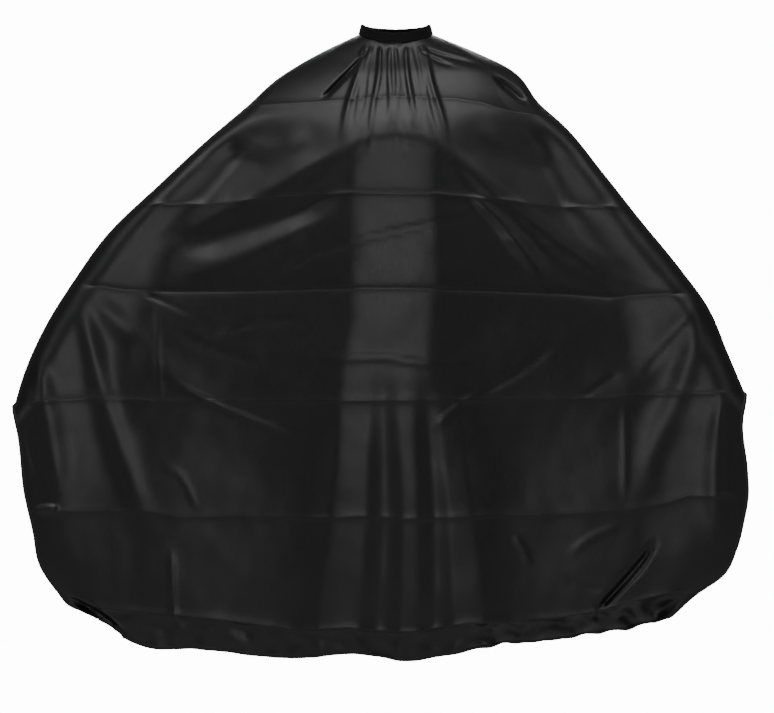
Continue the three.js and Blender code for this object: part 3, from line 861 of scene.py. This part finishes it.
def tuftTree():
    # an arc of wire stands on each point, turned a little at random
    tree, source, result = nodeTree("bent wires on a strip", [
        ("Size", "Float"), ("Wire", "Float"), ("Sweep", "Float"), ("Turn", "Float"), ("Seed", "Int"),
        ("Material", "Material")])
    new, link = tree.nodes.new, tree.links.new
    points = new("GeometryNodeMeshToPoints")
    arc = new("GeometryNodeCurveArc")
    arc.inputs["Resolution"].default_value = 7
    profile = new("GeometryNodeCurvePrimitiveCircle")
    profile.inputs["Resolution"].default_value = 4
    wire = new("GeometryNodeCurveToMesh")
    wire.inputs["Fill Caps"].default_value = True
    stand = new("GeometryNodeTransform")
    stand.inputs["Rotation"].default_value = (math.pi / 2, 0, 0)
    up = new("FunctionNodeAlignRotationToVector")
    up.axis = "Z"
    least = new("ShaderNodeMath")
    least.operation = "MULTIPLY"
    least.inputs[1].default_value = -1
    spin = new("FunctionNodeRandomValue")
    euler = new("ShaderNodeCombineXYZ")
    asRotation = new("FunctionNodeEulerToRotation")
    twist = new("FunctionNodeRotateRotation")
    twist.rotation_space = "LOCAL"
    place = new("GeometryNodeInstanceOnPoints")
    link(source.outputs["Geometry"], points.inputs["Mesh"])
    link(source.outputs["Size"], arc.inputs["Radius"])
    link(source.outputs["Sweep"], arc.inputs["Sweep Angle"])
    link(source.outputs["Wire"], profile.inputs["Radius"])
    link(arc.outputs["Curve"], wire.inputs["Curve"])
    link(profile.outputs["Curve"], wire.inputs["Profile Curve"])
    link(wire.outputs["Mesh"], stand.inputs["Geometry"])
    link(upAttribute(tree), up.inputs["Vector"])
    link(source.outputs["Turn"], least.inputs[0])
    link(least.outputs[0], spin.inputs[2])
    link(source.outputs["Turn"], spin.inputs[3])
    link(source.outputs["Seed"], spin.inputs["Seed"])
    link(spin.outputs[1], euler.inputs["Z"])
    link(euler.outputs[0], asRotation.inputs[0])
    link(up.outputs[0], twist.inputs["Rotation"])
    link(asRotation.outputs[0], twist.inputs["Rotate By"])
    link(points.outputs[0], place.inputs["Points"])
    link(stand.outputs[0], place.inputs["Instance"])
    link(twist.outputs[0], place.inputs["Rotation"])
    finishTree(tree, source, result, place.outputs[0])
    return tree


def growOn(name, points, ups, edges, tree, values, body, slotName):
    # runs a tree over points that carry their outward direction, and keeps its plain mesh
    mesh = bpy.data.meshes.new(name)
    mesh.from_pydata([tuple(v) for v in points], edges, [])
    away = mesh.attributes.new("up", "FLOAT_VECTOR", "POINT")
    away.data.foreach_set("vector", np.asarray(ups, dtype=np.float32).ravel())
    obj = bpy.data.objects.new(name, mesh)
    bpy.context.collection.objects.link(obj)
    grow = obj.modifiers.new("grow", "NODES")
    grow.node_group = tree
    for item in tree.interface.items_tree:
        if item.in_out == "INPUT" and item.name in values:
            grow[item.identifier] = values[item.name]
    evaluated = obj.evaluated_get(bpy.context.evaluated_depsgraph_get())
    grown = bpy.data.meshes.new_from_object(evaluated)
    obj.modifiers.remove(grow)
    obj.data = grown
    for poly in grown.polygons:
        poly.use_smooth = True
    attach(obj, body)
    return obj


# what every fabric's texture shares: noise scales, and how much each part of it counts
fabricTexture = dict(slubScale=240, slubStretch=.25, speckScale=900, patchTone=.6, slubTone=.5, toneBase=-.1,
                     speckHeight=.5)


def shaderGroup(name, inputs, outputs):
    tree = bpy.data.node_groups.new(name, "ShaderNodeTree")
    for label, kind, value in inputs:
        socket = tree.interface.new_socket(label, in_out="INPUT", socket_type="NodeSocket" + kind)
        if kind == "Float":
            socket.default_value = value
    for label in outputs:
        tree.interface.new_socket(label, in_out="OUTPUT", socket_type="NodeSocketFloat")
    return tree, tree.nodes.new("NodeGroupInput"), tree.nodes.new("NodeGroupOutput")


def mathNode(tree, operation, a, b=None):
    node = tree.nodes.new("ShaderNodeMath")
    node.operation = operation
    for socket, value in zip(node.inputs, (a, b)):
        if value is None:
            continue
        if isinstance(value, (int, float)):
            socket.default_value = value
        else:
            tree.links.new(value, socket)
    return node.outputs[0]


def weaveGroup():
    # crossing threads: Height of the threads over and under each other, and a slub that varies along them
    tree, source, result = shaderGroup(
        "plain weave", [("Vector", "Vector", None), ("Thread pitch", "Float", .0006)], ["Height", "Slub"])
    split = tree.nodes.new("ShaderNodeSeparateXYZ")
    tree.links.new(source.outputs["Vector"], split.inputs[0])
    turns = mathNode(tree, "DIVIDE", math.pi, source.outputs["Thread pitch"])
    warp = mathNode(tree, "SINE", mathNode(tree, "MULTIPLY", split.outputs[0], turns))
    weft = mathNode(tree, "SINE", mathNode(tree, "MULTIPLY", split.outputs[1], turns))
    over = mathNode(tree, "MULTIPLY", warp, weft)
    tree.links.new(mathNode(tree, "MULTIPLY_ADD", over, .5), result.inputs["Height"])
    slub = tree.nodes.new("ShaderNodeTexNoise")
    slub.inputs["Scale"].default_value = fabricTexture["slubScale"]
    slub.inputs["Detail"].default_value = 3
    stretch = tree.nodes.new("ShaderNodeVectorMath")
    stretch.operation = "MULTIPLY"
    stretch.inputs[1].default_value = (1, fabricTexture["slubStretch"], 1)
    tree.links.new(source.outputs["Vector"], stretch.inputs[0])
    tree.links.new(stretch.outputs[0], slub.inputs["Vector"])
    tree.links.new(slub.outputs[0], result.inputs["Slub"])
    return tree


def wearGroup():
    # slow changes of tone from handling and washing, and fine specks of lint
    tree, source, result = shaderGroup(
        "handling wear", [("Vector", "Vector", None), ("Patch size", "Float", .12)], ["Patches", "Specks"])
    broad = tree.nodes.new("ShaderNodeTexNoise")
    broad.inputs["Detail"].default_value = 4
    tree.links.new(source.outputs["Vector"], broad.inputs["Vector"])
    tree.links.new(mathNode(tree, "DIVIDE", 1, source.outputs["Patch size"]), broad.inputs["Scale"])
    fine = tree.nodes.new("ShaderNodeTexNoise")
    fine.inputs["Scale"].default_value = fabricTexture["speckScale"]
    fine.inputs["Detail"].default_value = 2
    tree.links.new(source.outputs["Vector"], fine.inputs["Vector"])
    tree.links.new(broad.outputs[0], result.inputs["Patches"])
    tree.links.new(fine.outputs[0], result.inputs["Specks"])
    return tree


weave, wear = weaveGroup(), wearGroup()


def fabric(name, dark, light, roughness, sheen, pitch, relief, coords="Object", specular=.4, glossRange=.08):
    # two tones mixed by wear and slub, threads as bump, and a gloss that varies by glossRange
    m = bpy.data.materials.new(name)
    m.use_nodes = True
    tree = m.node_tree
    new, link = tree.nodes.new, tree.links.new
    p = tree.nodes["Principled BSDF"]
    p.inputs["Specular IOR Level"].default_value = specular
    p.inputs["Sheen Weight"].default_value = sheen
    p.inputs["Sheen Roughness"].default_value = .4
    if coords == "cut":
        place = new("ShaderNodeUVMap")
        place.uv_map = "cut"
        where = place.outputs[0]
    else:
        where = new("ShaderNodeTexCoord").outputs["Object"]
    threads = new("ShaderNodeGroup")
    threads.node_tree = weave
    threads.inputs["Thread pitch"].default_value = pitch
    use = new("ShaderNodeGroup")
    use.node_tree = wear
    link(where, threads.inputs["Vector"])
    link(where, use.inputs["Vector"])
    patches = mathNode(tree, "MULTIPLY_ADD", use.outputs["Patches"], fabricTexture["patchTone"])
    patches.node.inputs[2].default_value = fabricTexture["toneBase"]
    slubs = mathNode(tree, "MULTIPLY", threads.outputs["Slub"], fabricTexture["slubTone"])
    tone = mathNode(tree, "ADD", patches, slubs)
    colour = new("ShaderNodeMix")
    colour.data_type = "RGBA"
    colour.inputs[6].default_value = (*dark, 1)
    colour.inputs[7].default_value = (*light, 1)
    link(tone, colour.inputs[0])
    link(colour.outputs[2], p.inputs["Base Color"])
    uneven = mathNode(tree, "ADD", use.outputs["Specks"], threads.outputs["Slub"])
    gloss = mathNode(tree, "MULTIPLY_ADD", uneven, glossRange)
    gloss.node.inputs[2].default_value = roughness - glossRange
    link(gloss, p.inputs["Roughness"])
    specks = mathNode(tree, "MULTIPLY", use.outputs["Specks"], fabricTexture["speckHeight"])
    raised = mathNode(tree, "ADD", threads.outputs["Height"], specks)
    bump = new("ShaderNodeBump")
    bump.inputs["Distance"].default_value = relief
    bump.inputs["Strength"].default_value = 1
    link(raised, bump.inputs["Height"])
    link(bump.outputs[0], p.inputs["Normal"])
    return m


clothMaterial = fabric(
    "cape satin", dark=(.004, .004, .0045), light=(.008, .008, .0085), roughness=.40, sheen=.03,
    pitch=.0008, relief=.00006, coords="cut", glossRange=.14)
bindingMaterial = fabric(
    "rolled binding", dark=(.003, .003, .003), light=(.008, .008, .008), roughness=.62, sheen=.05,
    pitch=.0008, relief=.0001)
tapeMaterial = fabric(
    "ribbed band tape", dark=(.0015, .0015, .0015), light=(.004, .004, .004), roughness=.85, sheen=.03,
    pitch=.0011, relief=.0003, specular=.15)
elasticMaterial = fabric(
    "braided elastic", dark=(.010, .009, .008), light=(.030, .027, .024), roughness=.7, sheen=0,
    pitch=.0014, relief=.0003)
threadMaterial = fabric(
    "sewing thread", dark=(.006, .006, .006), light=(.016, .016, .016), roughness=.5, sheen=.1,
    pitch=.0004, relief=.00005)
pileMaterial = fabric(
    "loop pile", dark=(.004, .004, .004), light=(.012, .012, .012), roughness=.8, sheen=.2,
    pitch=.0009, relief=.0002)
hookMaterial = fabric(
    "moulded hook strip", dark=(.006, .006, .006), light=(.012, .012, .012), roughness=.45, sheen=0,
    pitch=.0017, relief=.00005)

seam = dict(spacing=.0034, length=.0026, thread=.00042)
stitching = stitchTree()
for body, lines in stitchLines.items():
    points, ups, edges = [], [], []
    for line, away in lines:
        first = len(points)
        points += [tuple(v) for v in line]
        ups += [tuple(v) for v in away]
        edges += [(first + k, first + k + 1) for k in range(len(line) - 1)]
    sewn = growOn("stitches_" + body, points, ups, edges, stitching, {
        "Spacing": seam["spacing"], "Stitch length": seam["length"], "Thread width": seam["thread"],
        "Material": threadMaterial}, body, "edge_binding")
    print("stitches on", body, len(sewn.data.polygons), "faces")

strip = dict(
    base=.00035,
    pitch=.0017,
    wire=.00006,
    loopRadius=.00028,
    loopSweep=math.pi,
    loopTurn=1.5,
    hookRadius=.00026,
    hookSweep=3.9,
    hookTurn=.25,
)
tufts = tuftTree()


def stripPoints(start, end, out, bottom, top, inward):
    count = int((end - start) * (band["halfWidth"] + out) / strip["pitch"])
    rows = int((top - bottom) / strip["pitch"])
    angles, ups = np.meshgrid(np.linspace(start, end, count + 2)[1:-1],
                              np.linspace(bottom, top, rows + 2)[1:-1])
    angles, ups = angles.ravel(), ups.ravel()
    away = np.stack([np.sin(angles), -np.cos(angles), 0 * angles], axis=-1) * (-1 if inward else 1)
    return bandPoint(angles, out, ups), away


loopFrom = endAngle - closure["loopLength"] / tabRadius
loopTo = endAngle - closure["loopInset"] / tabRadius
loopBottom, loopTop = tape["elasticInset"], height - tape["elasticInset"]
loopBase = tapeObject("loop_strip_base", loopFrom, loopTo, loopOut, strip["base"], loopBottom, loopTop,
                      "root")
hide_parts("loop_strip")
pile = growOn("loop_strip_pile",
              *stripPoints(loopFrom, loopTo, loopOut + strip["base"], loopBottom, loopTop, False), [], tufts,
              {"Size": strip["loopRadius"], "Wire": strip["wire"], "Sweep": strip["loopSweep"],
               "Turn": strip["loopTurn"], "Seed": 4, "Material": pileMaterial}, "root", "loop_pile")
hookFrom = endAngle - (closure["tabLength"] - closure["hookInset"]) / tabRadius
hookTo = endAngle - closure["hookInset"] / tabRadius
hookBottom, hookTop = closure["hookInset"], height - closure["hookInset"]
hookBaseOut = hookOut + closure["hook"] - strip["base"]
hookBase = tapeObject("hook_strip_base", hookFrom, hookTo, hookBaseOut, strip["base"], hookBottom, hookTop,
                      "closure_tab")
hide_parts("hook_strip")
hooks = growOn("hook_strip_hooks",
               *stripPoints(hookFrom, hookTo, hookBaseOut, hookBottom, hookTop, True), [], tufts,
               {"Size": strip["hookRadius"], "Wire": strip["wire"], "Sweep": strip["hookSweep"],
                "Turn": strip["hookTurn"], "Seed": 9, "Material": hookMaterial},
               "closure_tab", "hook_plastic")
print("closure:", len(pile.data.polygons), "pile faces,", len(hooks.data.polygons), "hook faces")

cloth.data.materials.append(clothMaterial)
for obj in hems:
    obj.data.materials.append(bindingMaterial)
for obj in (lining, outerTape, tabOuter, tabLining, anchor):
    obj.data.materials.append(tapeMaterial)
elastic.data.materials.append(elasticMaterial)
loopBase.data.materials.append(pileMaterial)
hookBase.data.materials.append(hookMaterial)

# camera, level with the middle of the cape
camera = dict(place=(-.01575, -4.0, -.588), lens=103.1, sensor=36)
camData = bpy.data.cameras.new("camera")
camData.lens = camera["lens"]
camData.sensor_width = camera["sensor"]
cam = bpy.data.objects.new("camera", camData)
cam.location = camera["place"]
cam.rotation_euler = (math.pi / 2, 0, 0)
bpy.context.collection.objects.link(cam)
bpy.context.scene.camera = cam


def areaLight(name, place, aim, size, power):
    data = bpy.data.lights.new(name, "AREA")
    data.shape = "RECTANGLE"
    data.size, data.size_y = size
    data.energy = power
    obj = bpy.data.objects.new(name, data)
    obj.location = place
    obj.rotation_euler = (Vector(aim) - Vector(place)).to_track_quat("-Z", "Y").to_euler()
    bpy.context.collection.objects.link(obj)


areaLight("topSoftbox", (0, -1.15, 2.1), (0, 0, -.2), (4.6, 1.0), 84)
areaLight("frontSoftbox", (0, -4.3, 0), (0, 0, -.6), (.35, 1.5), 33)
areaLight("leftSoftbox", (-2.6, -1.6, .2), (0, 0, -.5), (.6, 1.6), 7)
areaLight("rightSoftbox", (2.6, -1.6, .2), (0, 0, -.5), (.6, 1.6), 5)
areaLight("backSoftbox", (0, 3.2, 1.6), (0, 0, -.6), (2.4, 1.2), 45)

# a bright backdrop, and a much weaker light from all round
studio = dict(backdrop=14, allRound=.07, floorTone=(.66, .66, .65, 1), floorLevel=-1.45, floorHalfWidth=3,
              floorFront=-5.5, floorBack=1.3)
world = bpy.data.worlds.new("studio")
bpy.context.scene.world = world
world.use_nodes = True
nodes, links = world.node_tree.nodes, world.node_tree.links
out = nodes["World Output"]
seen, lit = nodes["Background"], nodes.new("ShaderNodeBackground")
seen.inputs[0].default_value = (1, 1, 1, 1)
seen.inputs[1].default_value = studio["backdrop"]
lit.inputs[0].default_value = (1, 1, 1, 1)
lit.inputs[1].default_value = studio["allRound"]
path = nodes.new("ShaderNodeLightPath")
mix = nodes.new("ShaderNodeMixShader")
links.new(path.outputs["Is Camera Ray"], mix.inputs[0])
links.new(lit.outputs[0], mix.inputs[1])
links.new(seen.outputs[0], mix.inputs[2])
links.new(mix.outputs[0], out.inputs[0])

left, right = -studio["floorHalfWidth"], studio["floorHalfWidth"]
floorCorners = [(left, studio["floorFront"]), (right, studio["floorFront"]),
                (right, studio["floorBack"]), (left, studio["floorBack"])]
floor = meshObject("floor", [(*corner, studio["floorLevel"]) for corner in floorCorners], [(0, 1, 2, 3)])
pale = bpy.data.materials.new("pale floor")
pale.use_nodes = True
pale.node_tree.nodes["Principled BSDF"].inputs["Base Color"].default_value = studio["floorTone"]
pale.node_tree.nodes["Principled BSDF"].inputs["Roughness"].default_value = .8
floor.data.materials.append(pale)
